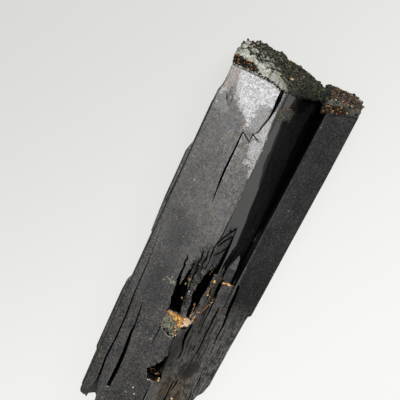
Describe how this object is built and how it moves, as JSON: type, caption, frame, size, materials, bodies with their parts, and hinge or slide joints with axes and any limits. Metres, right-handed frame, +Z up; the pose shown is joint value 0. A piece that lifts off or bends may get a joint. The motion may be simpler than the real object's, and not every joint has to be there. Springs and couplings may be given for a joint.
{
  "type": "aegirine crystal",
  "caption": "Black striated crystal of two parallel prisms grown together, with a groove between them, long cracks, an ochre pocket and a crusted tip, lying on its back.",
  "frame": {"origin": "bottom centre of the crystal's box, on the surface that its back faces rest on", "axes": "+Y along the prisms towards the crusted tip, +X towards the slim prism, +Z up, out of the broad front face"},
  "size_m": [0.0368, 0.1181, 0.0223],
  "materials": {
    "aegirine": "glassy to satin black with fine striations",
    "crust": "rough crust of small grey-green and brown crystals",
    "ochre": "earthy matt ochre"
  },
  "bodies": {
    "root": {"crystal": "aegirine", "tip_crust": "crust", "pocket_ochre": "ochre"}
  },
  "joints": []
}
